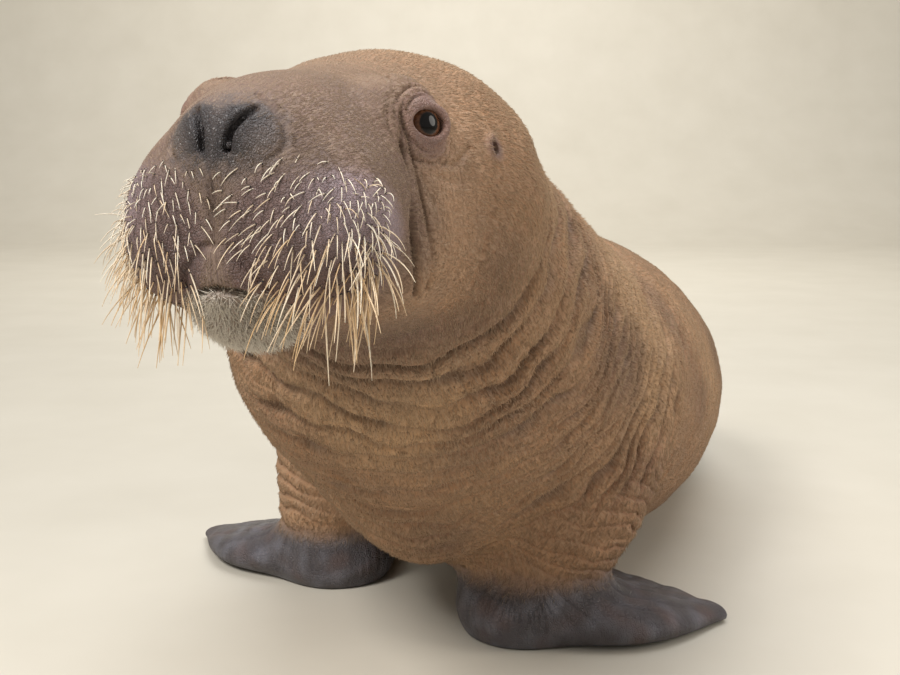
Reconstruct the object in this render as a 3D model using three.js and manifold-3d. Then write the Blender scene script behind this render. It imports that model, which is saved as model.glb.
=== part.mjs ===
// A walrus calf a few months old, life size, sitting up on its foreflippers with its head raised.
// Millimetres, +Z up. It faces -Y and its own left is +X. The origin is on the floor, under the middle
// of its box.
import * as THREE from "three";
import { mergeVertices } from "three/addons/utils/BufferGeometryUtils.js";
import Module from "manifold-3d";

const wasm = await Module();
wasm.setup();

// Driving dimensions
const GAP = 0.3; // between two parts that touch
const SIDES = 32; // of a section of the trunk
const MOUTH_GAP = 1.6; // between the lips
const SPACING = 10; // between the ellipsoids that a sweep is made of

// The trunk, from the root of the tail to the nape: x, y, z of the middle, half width, half height.
const TRUNK = {
  tailRoot: [302, 1872, 46, 40, 34],
  pelvis: [278, 1790, 82, 88, 78],
  hips: [236, 1680, 124, 136, 126],
  loin: [184, 1552, 156, 170, 160],
  belly: [132, 1424, 178, 188, 182],
  ribs: [82, 1296, 206, 192, 178],
  chest: [28, 1172, 246, 190, 162],
  shoulders: [-10, 1070, 288, 180, 160],
  neckRoot: [-30, 982, 328, 158, 152],
  neck: [-36, 908, 370, 130, 128],
  throat: [-44, 850, 404, 118, 112],
  nape: [-48, 804, 428, 112, 97],
};
const KEEL = { at: [-22, 1118, 186], half: [84, 130, 112], blend: 60 }; // of the chest, between the arms
const TAIL = {
  root: [298, 1856, 50, 34, 26],
  middle: [309, 1894, 34, 26, 15],
  tip: [317, 1922, 22, 15, 7],
};

// The limbs, from the trunk down to the heel of the hand or foot, in the same terms.
const LEFT_ARM = {
  shoulder: [132, 1146, 232, 84, 80],
  elbow: [118, 1118, 162, 82, 80],
  forearm: [92, 1120, 98, 76, 66],
  wrist: [78, 1120, 54, 68, 48],
  heel: [72, 1112, 26, 58, 42],
};
const RIGHT_ARM = {
  shoulder: [-92, 1212, 228, 82, 80],
  elbow: [-116, 1232, 162, 68, 68],
  forearm: [-124, 1246, 100, 60, 56],
  wrist: [-124, 1258, 54, 60, 46],
  heel: [-122, 1266, 26, 56, 40],
};
const LEFT_LEG = {
  hip: [306, 1788, 78, 70, 62],
  ankle: [336, 1866, 46, 44, 38],
  heel: [342, 1892, 24, 36, 28],
};
const RIGHT_LEG = {
  hip: [236, 1806, 78, 70, 62],
  ankle: [232, 1888, 46, 44, 38],
  heel: [230, 1914, 24, 36, 28],
};

// A flipper's digits, in its own plane: how far forward and how far towards its leading edge each
// passes at its middle and its tip, with the half width and half thickness at root, middle and tip.
const HAND = {
  root: [-14, 4, 40, 28],
  digits: [
    [[66, 80, 34, 18], [172, 90, 17, 8]],
    [[76, 42, 32, 20], [170, 44, 17, 8]],
    [[80, 0, 31, 20], [164, -2, 17, 8]],
    [[72, -40, 31, 18], [156, -48, 17, 8]],
    [[58, -74, 30, 16], [146, -96, 17, 8]],
  ],
};
const FOOT = {
  root: [-8, 0, 34, 24],
  digits: [
    [[70, 38, 22, 12], [184, 56, 13, 6]],
    [[72, 19, 20, 13], [168, 28, 12, 6]],
    [[74, 0, 20, 13], [160, 0, 12, 6]],
    [[72, -19, 20, 13], [166, -28, 12, 6]],
    [[70, -38, 22, 12], [180, -56, 13, 6]],
  ],
};
// Where each flipper's root is on the floor, which way it heads, and the side that leads: 1 clockwise.
const FLIPPERS = {
  leftHand: { at: [70, 1112], heading: 35, lead: 1, shape: HAND },
  rightHand: { at: [-124, 1269], heading: 114.5, lead: -1, shape: HAND },
  leftFoot: { at: [342, 1894], heading: 78, lead: 1, shape: FOOT },
  rightFoot: { at: [230, 1916], heading: 103, lead: -1, shape: FOOT },
};
const WEB = 30; // how softly digits run into the web between them
// Where the furred limb ends and bare skin begins: a height over the floor, and a share of the hind leg.
const WRIST_HEIGHT = 50;
const ANKLE_SHARE = 0.5;
const MIDPLANE = 6; // height above the floor at which a flipper is widest
const FLIPPER_MESH = { sides: 40, under: [0.5, 0.97], over: [0.985, 0.93, 0.8, 0.62, 0.42, 0.2] };
const THICKEST = 40; // of a flipper, above and below that height

// The head: the point midway between the eyes, and how the head is turned there, in degrees.
const HEAD_AT = [-85, 706, 478];
const HEAD_YAW = 17; // to the animal's right
const HEAD_PITCH = 2.5; // up
const HEAD_CORE = [0, 0, -38]; // the point that the head is drawn out from

// The head's masses in its own frame, x forward, y to its left, z up: each is on both sides if y isn't 0.
const SKULL = {
  cranium: { at: [-72, 0, -36], half: [84, 94, 66], blend: 24 },
  forehead: { at: [-6, 0, -12], half: [76, 60, 40], blend: 30 },
  bridge: { at: [54, 0, -16], half: [48, 42, 30], blend: 24 },
  nose: { at: [84, 0, -22], half: [26, 32, 26], blend: 12 },
  brow: { at: [-8, 55, -5], half: [34, 22, 30], blend: 16 },
  jowl: { at: [-30, 44, -66], half: [70, 46, 50], blend: 30 },
  gullet: { at: [-60, 0, -84], half: [80, 62, 42], blend: 30 },
  pad: { at: [56, 34, -66], half: [52, 38, 42], blend: 14 },
  lip: { at: [82, 0, -80], half: [28, 24, 30], blend: 14 },
  chin: { at: [52, 0, -108], half: [40, 34, 20], blend: 12 },
  cheek: { at: [44, 36, -40], half: [46, 32, 32], blend: 22 },
  philtrum: { at: [80, 0, -48], half: [28, 40, 24], blend: 16 },
  orbit: { at: [-8, 61, -5], half: [20, 18, 21], blend: 10 },
};

// What the head is parted into, each cut out of it by an ellipsoid: the whisker pads and the lower jaw.
const PAD_ZONE = { at: [74, 38, -72], half: [84, 47, 46] };
const JAW_ZONE = { at: [38, 0, -117], half: [64, 52, 25] };

// Eyes and ears on the animal's left, mirrored on its right. Each faces the way its yaw says.
const EYE = { at: [-8, 63, -5], radius: 14, yaw: 54, pitch: 6, lid: [12, 10.5], fold: 3.4 };
const EAR = { from: [-68, 60, -14], yaw: 86, hole: 3.6, rim: 1.7 };
const NOSTRIL = { at: [107, 11, -17], half: [15, 3.2, 10], lean: 24 };

// The whiskers of one pad, in rows up the pad and columns round it.
const WHISKER_ROWS = 9;
const WHISKER_COLUMNS = 8;
const WHISKER = { root: 0.85, tip: 0.32, shortest: 11, longest: 50, sunk: 4, clear: 2.2 };
const PAD_CORE = [52, 34, -68];
const BORDER = 4; // of a pad, bare of whiskers

const WORLD = [new THREE.Vector3(1, 0, 0), new THREE.Vector3(0, 1, 0), new THREE.Vector3(0, 0, 1)];
const DOWN = new THREE.Vector3(0, 0, -1);
const UP = WORLD[2];
const AHEAD = new THREE.Vector3(0, -1, 0);
const degrees = THREE.MathUtils.degToRad;
const vector = (list) => new THREE.Vector3(...list);

// Signed distance, close to true near its surface, from a turned ellipsoid.
function ellipsoid(at, half, axes) {
  const [a, b, c] = half;
  return (p) => {
    const d = new THREE.Vector3().subVectors(p, at);
    const x = d.dot(axes[0]);
    const y = d.dot(axes[1]);
    const z = d.dot(axes[2]);
    const reach = Math.hypot(x / a, y / b, z / c);
    const slope = Math.hypot(x / (a * a), y / (b * b), z / (c * c));
    return slope > 0 ? (reach * (reach - 1)) / slope : -Math.min(a, b, c);
  };
}

function smoothMin(a, b, blend) {
  const h = Math.max(blend - Math.abs(a - b), 0) / blend;
  return Math.min(a, b) - (h * h * blend) / 4;
}

// A form swept along stations: section(t) is its cross-section at t, from 0 to 1.
function sweepOf(stations, crest = UP) {
  const rows = Object.values(stations);
  const curve = (points) => new THREE.CatmullRomCurve3(points, false, "catmullrom", 0.5);
  const line = curve(rows.map(([x, y, z]) => new THREE.Vector3(x, y, z)));
  const sizes = curve(rows.map((r) => new THREE.Vector3(r[3], r[4], 0)));
  const section = (t) => {
    const size = sizes.getPoint(t);
    const after = line.getPoint(Math.min(t + 0.001, 1));
    const along = after.sub(line.getPoint(Math.max(t - 0.001, 0))).normalize();
    const across = new THREE.Vector3().crossVectors(along, crest).normalize();
    const up = new THREE.Vector3().crossVectors(across, along);
    return { at: line.getPoint(t), across, up, along, halfWidth: size.x, halfHeight: size.y };
  };
  const place = (name) => Object.keys(stations).indexOf(name) / (rows.length - 1);
  return { section, place, length: line.getLength() };
}

// The field of a sweep: the least distance from a chain of ellipsoids set along it.
function sweepField(sweep, spacing = SPACING) {
  const count = Math.ceil(sweep.length / spacing);
  const masses = Array.from({ length: count + 1 }, (_, i) => {
    const s = sweep.section(i / count);
    const half = [s.halfWidth, s.halfHeight, Math.min(s.halfWidth, s.halfHeight)];
    return ellipsoid(s.at, half, [s.across, s.up, s.along]);
  });
  return (p) => masses.reduce((least, mass) => Math.min(least, mass(p)), Infinity);
}

// The first place along a ray from inside where the field is zero, then on by grow.
function surfaceFrom(inside, direction, field, grow = 0, farthest = 1000) {
  let gone = 0;
  const p = inside.clone();
  for (let step = 0; step < 90; step++) {
    const depth = -field(p);
    if (depth < 0.01 || gone >= farthest) break;
    gone = Math.min(gone + depth * 0.8, farthest);
    p.copy(inside).addScaledVector(direction, gone);
  }
  return p.addScaledVector(direction, grow);
}

const onFloor = (p) => p.setZ(Math.max(p.z, 0));

// A closed geometry of rings of points, each end closed by a fan to a pole.
function closedRings(rings, firstPole, lastPole) {
  const sides = rings[0].length;
  const points = [...rings.flat(), firstPole, lastPole];
  const first = rings.length * sides;
  const index = [];
  for (let i = 0; i < sides; i++) {
    const j = (i + 1) % sides;
    index.push(first, i, j);
    const end = first - sides;
    index.push(first + 1, end + j, end + i);
    for (let r = 0; r < rings.length - 1; r++) {
      const a = r * sides;
      const b = a + sides;
      index.push(a + j, a + i, b + i, a + j, b + i, b + j);
    }
  }
  return new THREE.BufferGeometry().setFromPoints(points).setIndex(index);
}

// A stretch of a sweep drawn on a field. Its ends are flat cuts, half a gap short, or run out to a tip.
function tube(sweep, field, { from = 0, to = 1, rings, sides, grow = 0, tip = false }) {
  const share = (i) => from + ((to - from) * i) / (rings - 1);
  const sections = Array.from({ length: rings }, (_, i) => sweep.section(share(i)));
  sections[0].at.addScaledVector(sections[0].along, GAP / 2 - grow);
  sections[rings - 1].at.addScaledVector(sections[rings - 1].along, grow - GAP / 2);
  const drawn = sections.map((s) =>
    Array.from({ length: sides }, (_, i) => {
      const angle = (2 * Math.PI * i) / sides;
      const direction = new THREE.Vector3()
        .addScaledVector(s.across, s.halfWidth * Math.cos(angle))
        .addScaledVector(s.up, s.halfHeight * Math.sin(angle))
        .normalize();
      return onFloor(surfaceFrom(s.at, direction, field, grow));
    }),
  );
  const last = sections[rings - 1];
  return closedRings(drawn, sections[0].at, tip ? surfaceFrom(last.at, last.along, field, grow) : last.at);
}

function bare(geometry) {
  geometry.deleteAttribute("normal");
  geometry.deleteAttribute("uv");
  return geometry;
}

// A round mass drawn out from a core to a field, no farther than farthest.
function ball(core, field, detail, farthest) {
  const drawn = mergeVertices(bare(new THREE.IcosahedronGeometry(1, detail)));
  const places = drawn.getAttribute("position");
  for (let i = 0; i < places.count; i++) {
    const direction = new THREE.Vector3().fromBufferAttribute(places, i).normalize();
    places.setXYZ(i, ...surfaceFrom(core, direction, field, 0, farthest).toArray());
  }
  return drawn;
}

// A flipper that lies on the floor: rings of points inside its outline, over and under.
function slab(centre, field, { sides, over, under }) {
  const middle = new THREE.Vector3(centre[0], centre[1], MIDPLANE);
  const edge = Array.from({ length: sides }, (_, i) => {
    const angle = (-2 * Math.PI * i) / sides;
    return surfaceFrom(middle, new THREE.Vector3(Math.cos(angle), Math.sin(angle), 0), field);
  });
  const drop = (p, way) => onFloor(surfaceFrom(p, way, field, 0, THICKEST));
  const ring = (share, way) => edge.map((e) => drop(middle.clone().lerp(e, share), way));
  const rings = [...under.map((s) => ring(s, DOWN)), edge, ...over.map((s) => ring(s, UP))];
  const pole = (way) => drop(middle, way);
  return closedRings(rings, pole(DOWN), pole(UP));
}

// An ellipsoid as a solid, in the head's frame.
function headBlob(at, half, detail, grow = 0, turn = 0) {
  const blob = mergeVertices(bare(new THREE.IcosahedronGeometry(1, detail)));
  blob.scale(half[0] + grow, half[1] + grow, half[2] + grow).rotateX(degrees(turn)).translate(...at);
  return solidOf(blob.applyMatrix4(headFrame));
}

// Geometry to solid and back.
function solidOf(geometry) {
  const merged = mergeVertices(geometry, 1e-4);
  const vertProperties = merged.getAttribute("position").array;
  const triVerts = new Uint32Array(merged.index.array);
  return new wasm.Manifold(new wasm.Mesh({ numProp: 3, vertProperties, triVerts }));
}

function geometryOf(solid) {
  const { vertProperties, triVerts, numProp } = solid.getMesh();
  const count = vertProperties.length / numProp;
  const places = new Float32Array(count * 3);
  for (let i = 0; i < count; i++) places.set(vertProperties.subarray(i * numProp, i * numProp + 3), i * 3);
  return new THREE.BufferGeometry()
    .setAttribute("position", new THREE.BufferAttribute(places, 3))
    .setIndex(new THREE.BufferAttribute(triVerts, 1));
}

const largest = (solid) => solid.decompose().sort((a, b) => b.volume() - a.volume())[0];

// The two sides of a solid parted at a plane, with the gap between them: the normal's side first.
function parted(solid, at, normal) {
  const level = at.dot(normal);
  const back = normal.clone().negate();
  return [
    largest(solid.trimByPlane(normal.toArray(), level + GAP / 2)),
    largest(solid.trimByPlane(back.toArray(), GAP / 2 - level)),
  ];
}

// Materials
const material = (color, roughness) => new THREE.MeshStandardMaterial({ color, roughness, metalness: 0 });
const HIDE = material(0x8f6f55, 0.8);
const FACE = material(0x85706c, 0.7);
const BARE = material(0x55504f, 0.55);
const PAD = material(0x6a5a60, 0.6);
const EYE_GLOSS = material(0x1c0f0b, 0.05);

const calf = new THREE.Group();
function add(name, solid, finish) {
  const mesh = new THREE.Mesh(geometryOf(solid), finish);
  mesh.name = name;
  calf.add(mesh);
}

// The head's frame, and the field of the head with the neck that it grows from.
const headFrame = new THREE.Matrix4();
{
  const yaw = degrees(HEAD_YAW);
  const pitch = degrees(HEAD_PITCH);
  const level = Math.cos(pitch);
  const forward = new THREE.Vector3(-Math.sin(yaw) * level, -Math.cos(yaw) * level, Math.sin(pitch));
  const left = new THREE.Vector3().crossVectors(UP, forward).normalize();
  const crown = new THREE.Vector3().crossVectors(forward, left);
  headFrame.makeBasis(forward, left, crown).setPosition(vector(HEAD_AT));
}
const headAxes = [0, 1, 2].map((i) => new THREE.Vector3().setFromMatrixColumn(headFrame, i));
const headPoint = (list) => vector(list).applyMatrix4(headFrame);

const trunk = sweepOf(TRUNK);
const trunkMasses = sweepField(trunk);
const keel = ellipsoid(vector(KEEL.at), KEEL.half, WORLD);
const trunkField = (p) => smoothMin(trunkMasses(p), keel(p), KEEL.blend);
const skull = Object.values(SKULL).flatMap(({ at: [x, y, z], half, blend }) => {
  const sides = y === 0 ? [0] : [y, -y];
  return sides.map((side) => ({ mass: ellipsoid(headPoint([x, side, z]), half, headAxes), blend }));
});
const bodyField = (p) => skull.reduce((d, { mass, blend }) => smoothMin(d, mass(p), blend), trunkField(p));

// Trunk
const parts = {
  neck: { from: trunk.place("shoulders"), to: 1, rings: 13 },
  torso: { from: trunk.place("belly"), to: trunk.place("shoulders"), rings: 13 },
  hindquarters: { from: 0, to: trunk.place("belly"), rings: 15 },
};
for (const [name, span] of Object.entries(parts)) {
  add(name, solidOf(tube(trunk, bodyField, { ...span, sides: SIDES })), HIDE);
}
const trunkGrown = wasm.Manifold.union(
  Object.values(parts).map((span) => solidOf(tube(trunk, bodyField, { ...span, sides: SIDES, grow: GAP }))),
);

// Head
const nape = trunk.section(1);
const headWhole = parted(solidOf(ball(headPoint(HEAD_CORE), bodyField, 10, 240)), nape.at, nape.along)[0];
const { at: jawAt, half: jawHalf } = JAW_ZONE;
const jawCut = headBlob(jawAt, jawHalf, 4, MOUTH_GAP);
const sideways = (side) => ([x, y, z]) => [x, y * side, z];
const headWay = (yaw, pitch, side) => {
  const level = Math.cos(degrees(pitch));
  const [x, y] = [Math.cos(degrees(yaw)) * level, side * Math.sin(degrees(yaw)) * level];
  return new THREE.Vector3(x, y, Math.sin(degrees(pitch))).transformDirection(headFrame);
};

// A geometry made about +Z, turned to face a way and moved to a point.
function facing(geometry, at, way) {
  const turn = new THREE.Quaternion().setFromUnitVectors(UP, way);
  return solidOf(mergeVertices(bare(geometry)).applyQuaternion(turn).translate(...at.toArray()));
}

// A ring, longer across than up, that stands round a hole and faces a way.
function rim(at, way, [across, tall], thick, [round, along]) {
  const ring = mergeVertices(bare(new THREE.TorusGeometry(1, thick / across, round, along)));
  ring.scale(across, tall, across);
  const side = new THREE.Vector3().crossVectors(UP, way).normalize();
  const frame = new THREE.Matrix4().makeBasis(side, new THREE.Vector3().crossVectors(way, side), way);
  return solidOf(ring.applyMatrix4(frame.setPosition(at)));
}

let face = headWhole.subtract(jawCut);
for (const side of [1, -1]) {
  const mirrored = sideways(side);
  const name = side > 0 ? "left" : "right";
  face = face.subtract(headBlob(mirrored(PAD_ZONE.at), PAD_ZONE.half, 4, GAP));
  face = face.subtract(headBlob(mirrored(NOSTRIL.at), NOSTRIL.half, 1, 0, NOSTRIL.lean * side));

  const eyeAt = headPoint(mirrored(EYE.at));
  const gaze = headWay(EYE.yaw, EYE.pitch, side);
  const globe = (grow) => facing(new THREE.IcosahedronGeometry(EYE.radius + grow, 3), eyeAt, gaze);
  const lids = rim(eyeAt.clone().addScaledVector(gaze, EYE.radius - 4.5), gaze, EYE.lid, EYE.fold, [7, 20]);
  const opening = new THREE.SphereGeometry(1, 18, 8);
  opening.scale(EYE.lid[0] - 1.6, EYE.lid[0] + 12, EYE.lid[1] - 1.6).rotateX(Math.PI / 2);
  face = face.subtract(facing(opening, eyeAt.clone().addScaledVector(gaze, EYE.radius + 2), gaze));
  face = face.add(lids).subtract(globe(GAP));
  add(`eye_${name}`, globe(0), EYE_GLOSS);

  const outward = headWay(EAR.yaw, 0, side);
  const earAt = surfaceFrom(headPoint(mirrored(EAR.from)), outward, bodyField);
  face = face.add(rim(earAt, outward, [EAR.hole + 1, EAR.hole + 1.8], EAR.rim, [6, 12]));
  face = face.subtract(facing(new THREE.IcosahedronGeometry(EAR.hole, 2), earAt, outward));
}
add("head", largest(face), FACE);
add("lower_jaw", largest(headWhole.intersect(headBlob(jawAt, jawHalf, 4))), FACE);

// Whisker pads
const jawField = ellipsoid(headPoint(jawAt), jawHalf, headAxes);
let seed = 11;
function chance() {
  seed = (seed * 16807) % 2147483647;
  return seed / 2147483647;
}

// A whisker that bends down from its root: three sides, three rings and a point. None if it would touch.
function whisker(root, out, length, side) {
  const droop = headWay(0, -84, 1);
  const ringAt = (t) => {
    const bend = out.clone().lerp(droop, 0.25 + 0.5 * t).normalize();
    return root.clone().addScaledVector(bend, t * length - (t === 0 ? WHISKER.sunk : 0));
  };
  const places = [0, 0.33, 0.66, 1].map(ringAt);
  const inHead = new THREE.Matrix4().copy(headFrame).invert();
  const clear = places.slice(1).every((p) => {
    const across = p.clone().applyMatrix4(inHead).y * side;
    return bodyField(p) > WHISKER.clear && across > WHISKER.clear;
  });
  if (!clear) return null;
  const along = places[3].clone().sub(places[0]).normalize();
  const across = new THREE.Vector3().crossVectors(along, headAxes[0]).normalize();
  const up = new THREE.Vector3().crossVectors(across, along);
  const rings = places.slice(0, 3).map((p, i) => {
    const radius = THREE.MathUtils.lerp(WHISKER.root, WHISKER.tip, i / 2.4);
    return [0, 1, 2].map((k) => {
      const angle = (2 * Math.PI * k) / 3;
      const spoke = across.clone().multiplyScalar(Math.cos(angle)).addScaledVector(up, Math.sin(angle));
      return p.clone().addScaledVector(spoke, radius);
    });
  });
  return solidOf(closedRings(rings, places[0], places[3]));
}

for (const side of [1, -1]) {
  const name = side > 0 ? "left" : "right";
  const zone = headBlob(sideways(side)(PAD_ZONE.at), PAD_ZONE.half, 4);
  const zoneField = ellipsoid(headPoint(sideways(side)(PAD_ZONE.at)), PAD_ZONE.half, headAxes);
  const middle = headAxes[1].clone().multiplyScalar(side);
  const half = headWhole.intersect(zone).subtract(jawCut).trimByPlane(
    middle.toArray(),
    vector(HEAD_AT).dot(middle) + GAP / 2,
  );
  const whiskers = [];
  for (let row = 0; row < WHISKER_ROWS; row++) {
    for (let column = 0; column < WHISKER_COLUMNS; column++) {
      const low = row / (WHISKER_ROWS - 1);
      const lateral = (column + (row % 2) / 2 + 0.3 * (chance() - 0.5)) / (WHISKER_COLUMNS - 0.5);
      const out = headWay(-34 + 112 * lateral, 40 - 92 * low + 6 * (chance() - 0.5), side);
      const core = headPoint(sideways(side)(PAD_CORE));
      const root = surfaceFrom(core, out, bodyField);
      if (zoneField(root) > -BORDER || jawField(root) < BORDER) continue;
      const share = Math.min(1, 0.25 * lateral + 0.85 * low);
      const length = THREE.MathUtils.lerp(WHISKER.shortest, WHISKER.longest, share) * (0.85 + 0.3 * chance());
      const made = whisker(root, out, length, side);
      if (made) whiskers.push(made);
    }
  }
  add(`whisker_pad_${name}`, largest(wasm.Manifold.union([largest(half), ...whiskers])), PAD);
}

// Tail
const tailSweep = sweepOf(TAIL);
const tailField = sweepField(tailSweep, SPACING / 2);
const tailTube = (grow) => solidOf(tube(tailSweep, tailField, { rings: 7, sides: 16, tip: true, grow }));
add("tail", largest(tailTube(0).subtract(trunkGrown)), HIDE);
const tailGrown = tailTube(GAP);

// Limbs
function limb(names, stations, flipper, partAt) {
  const sweep = sweepOf(stations, AHEAD);
  const armField = sweepField(sweep);
  const { at, heading, lead, shape } = flipper;
  const forward = degrees(heading);
  const toLead = forward - (lead * Math.PI) / 2;
  const inPlane = (u, v, half, thick) => [
    at[0] + u * Math.cos(forward) + v * Math.cos(toLead),
    at[1] + u * Math.sin(forward) + v * Math.sin(toLead),
    thick - 1,
    half,
    thick,
  ];
  const digits = shape.digits.map(([middle, tip]) =>
    sweepField(sweepOf([inPlane(...shape.root), inPlane(...middle), inPlane(...tip)]), SPACING / 2),
  );
  const field = (p) => digits.reduce((d, digit) => smoothMin(d, digit(p), WEB), armField(p));
  const arm = solidOf(tube(sweep, field, { to: 0.99, rings: 9, sides: 24 }));
  const flat = solidOf(slab(inPlane(50, 6, 0, 0), field, FLIPPER_MESH));
  const whole = arm.add(flat).subtract(trunkGrown).subtract(tailGrown);
  const cut = partAt(sweep);
  const [lower, upper] = parted(whole, cut.at, cut.along);
  add(names[0], upper, HIDE);
  add(names[1], lower, BARE);
}
const atWrist = () => ({ at: new THREE.Vector3(0, 0, WRIST_HEIGHT), along: DOWN });
const atAnkle = (sweep) => sweep.section(ANKLE_SHARE);
limb(["foreleg_left", "foreflipper_left"], LEFT_ARM, FLIPPERS.leftHand, atWrist);
limb(["foreleg_right", "foreflipper_right"], RIGHT_ARM, FLIPPERS.rightHand, atWrist);
limb(["hindleg_left", "hindflipper_left"], LEFT_LEG, FLIPPERS.leftFoot, atAnkle);
limb(["hindleg_right", "hindflipper_right"], RIGHT_LEG, FLIPPERS.rightFoot, atAnkle);

// The origin goes to the floor, under the middle of the whole.
const whole = new THREE.Box3().setFromObject(calf);
const middle = whole.getCenter(new THREE.Vector3());
for (const mesh of calf.children) mesh.geometry.translate(-middle.x, -middle.y, -whole.min.z);

export default calf;
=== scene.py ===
import math

import bmesh
import bpy
import numpy as np
import openvdb
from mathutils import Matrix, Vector


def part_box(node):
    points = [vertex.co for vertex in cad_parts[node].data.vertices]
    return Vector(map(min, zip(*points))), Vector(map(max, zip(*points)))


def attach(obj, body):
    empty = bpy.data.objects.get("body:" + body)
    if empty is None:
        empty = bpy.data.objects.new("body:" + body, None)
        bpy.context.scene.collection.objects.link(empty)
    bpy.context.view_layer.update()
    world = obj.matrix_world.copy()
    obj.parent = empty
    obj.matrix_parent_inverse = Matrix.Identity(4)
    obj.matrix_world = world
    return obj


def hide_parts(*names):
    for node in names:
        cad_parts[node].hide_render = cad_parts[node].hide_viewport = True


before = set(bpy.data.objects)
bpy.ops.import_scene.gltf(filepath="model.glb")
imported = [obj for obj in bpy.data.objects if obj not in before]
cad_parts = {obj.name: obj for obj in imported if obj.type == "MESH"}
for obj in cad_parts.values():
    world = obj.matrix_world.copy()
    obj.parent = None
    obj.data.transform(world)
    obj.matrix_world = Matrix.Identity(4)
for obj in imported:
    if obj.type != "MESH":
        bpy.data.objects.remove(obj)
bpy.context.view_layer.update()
rng = np.random.default_rng(7)

# The trunk, from the root of the tail to the nape: x, y, z of the middle, half width, half height.
TRUNK = [
    (302, 1872, 46, 40, 34),
    (278, 1790, 82, 88, 78),
    (236, 1680, 124, 136, 126),
    (184, 1552, 156, 170, 160),
    (132, 1424, 178, 188, 182),
    (82, 1296, 206, 192, 178),
    (28, 1172, 246, 190, 162),
    (-10, 1070, 288, 180, 160),
    (-30, 982, 328, 158, 152),
    (-36, 908, 370, 130, 128),
    (-44, 850, 404, 118, 112),
    (-48, 804, 428, 112, 97),
]
KEEL = ((-22, 1118, 186), (84, 130, 112), 60)
TAIL = [(298, 1856, 50, 34, 26), (309, 1894, 34, 26, 15), (317, 1922, 22, 15, 7)]
LEFT_ARM = [
    (132, 1146, 232, 84, 80),
    (118, 1118, 162, 82, 80),
    (92, 1120, 98, 76, 66),
    (78, 1120, 54, 68, 48),
    (72, 1112, 26, 58, 42),
]
RIGHT_ARM = [
    (-92, 1212, 228, 82, 80),
    (-116, 1232, 162, 68, 68),
    (-124, 1246, 100, 60, 56),
    (-124, 1258, 54, 60, 46),
    (-122, 1266, 26, 56, 40),
]
LEFT_LEG = [(306, 1788, 78, 70, 62), (336, 1866, 46, 44, 38), (342, 1892, 24, 36, 28)]
RIGHT_LEG = [(236, 1806, 78, 70, 62), (232, 1888, 46, 44, 38), (230, 1914, 24, 36, 28)]

# A flipper's digits in its own plane: root, then the middle and tip of each, as forward, to its leading
# edge, half width and half thickness.
HAND_ROOT = (-14, 4, 40, 28)
HAND = [
    ((66, 80, 34, 18), (172, 90, 17, 8)),
    ((76, 42, 32, 20), (170, 44, 17, 8)),
    ((80, 0, 31, 20), (164, -2, 17, 8)),
    ((72, -40, 31, 18), (156, -48, 17, 8)),
    ((58, -74, 30, 16), (146, -96, 17, 8)),
]
FOOT_ROOT = (-8, 0, 34, 24)
FOOT = [
    ((70, 38, 22, 12), (184, 56, 13, 6)),
    ((72, 19, 20, 13), (168, 28, 12, 6)),
    ((74, 0, 20, 13), (160, 0, 12, 6)),
    ((72, -19, 20, 13), (166, -28, 12, 6)),
    ((70, -38, 22, 12), (180, -56, 13, 6)),
]
# Arm, where its flipper's root is, which way that heads in degrees, the side that leads, and its digits.
LIMBS = {
    "left_hand": (LEFT_ARM, (70, 1112), 35, 1, HAND_ROOT, HAND),
    "right_hand": (RIGHT_ARM, (-124, 1269), 114.5, -1, HAND_ROOT, HAND),
    "left_foot": (LEFT_LEG, (342, 1894), 78, 1, FOOT_ROOT, FOOT),
    "right_foot": (RIGHT_LEG, (230, 1916), 103, -1, FOOT_ROOT, FOOT),
}
WEB = 30  # how softly digits run into the web between them
SHOULDER = 34  # how softly limbs run into the trunk

# The head's frame at the point midway between the eyes, and its masses there: centre, half sizes, blend.
HEAD_AT = np.array([-85.0, 706.0, 478.0])
HEAD_YAW = 17
HEAD_PITCH = 2.5
SKULL = [
    ((-72, 0, -36), (84, 94, 66), 24),
    ((-6, 0, -12), (76, 60, 40), 30),
    ((54, 0, -16), (48, 42, 30), 24),
    ((84, 0, -22), (26, 32, 26), 12),
    ((-8, 55, -5), (34, 22, 30), 16),
    ((-30, 44, -66), (70, 46, 50), 30),
    ((-60, 0, -84), (80, 62, 42), 30),
    ((56, 34, -66), (52, 38, 42), 14),
    ((82, 0, -80), (28, 24, 30), 14),
    ((52, 0, -108), (40, 34, 20), 12),
    ((44, 36, -40), (46, 32, 32), 22),
    ((80, 0, -48), (28, 40, 24), 16),
    ((-8, 61, -5), (20, 18, 21), 10),
]
EYE = np.array([-8.0, 63.0, -5.0])
EYE_RADIUS = 15.0
GAZE_YAW = 54
GAZE_PITCH = 6
OPENING = (12.2, 7.6)
EYE_OUT = 3.2  # how far the eyeball stands out of the solids' own
EAR = np.array([-62.0, 98.0, -14.0])
PAD_CORE = (52.0, 34.0, -68.0)

# The mouth's line, in the head's frame
MOUTH = [(107, 0, -92), (103, 10, -94), (96, 20, -101), (80, 30, -109), (56, 42, -112), (28, 52, -108)]
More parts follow.
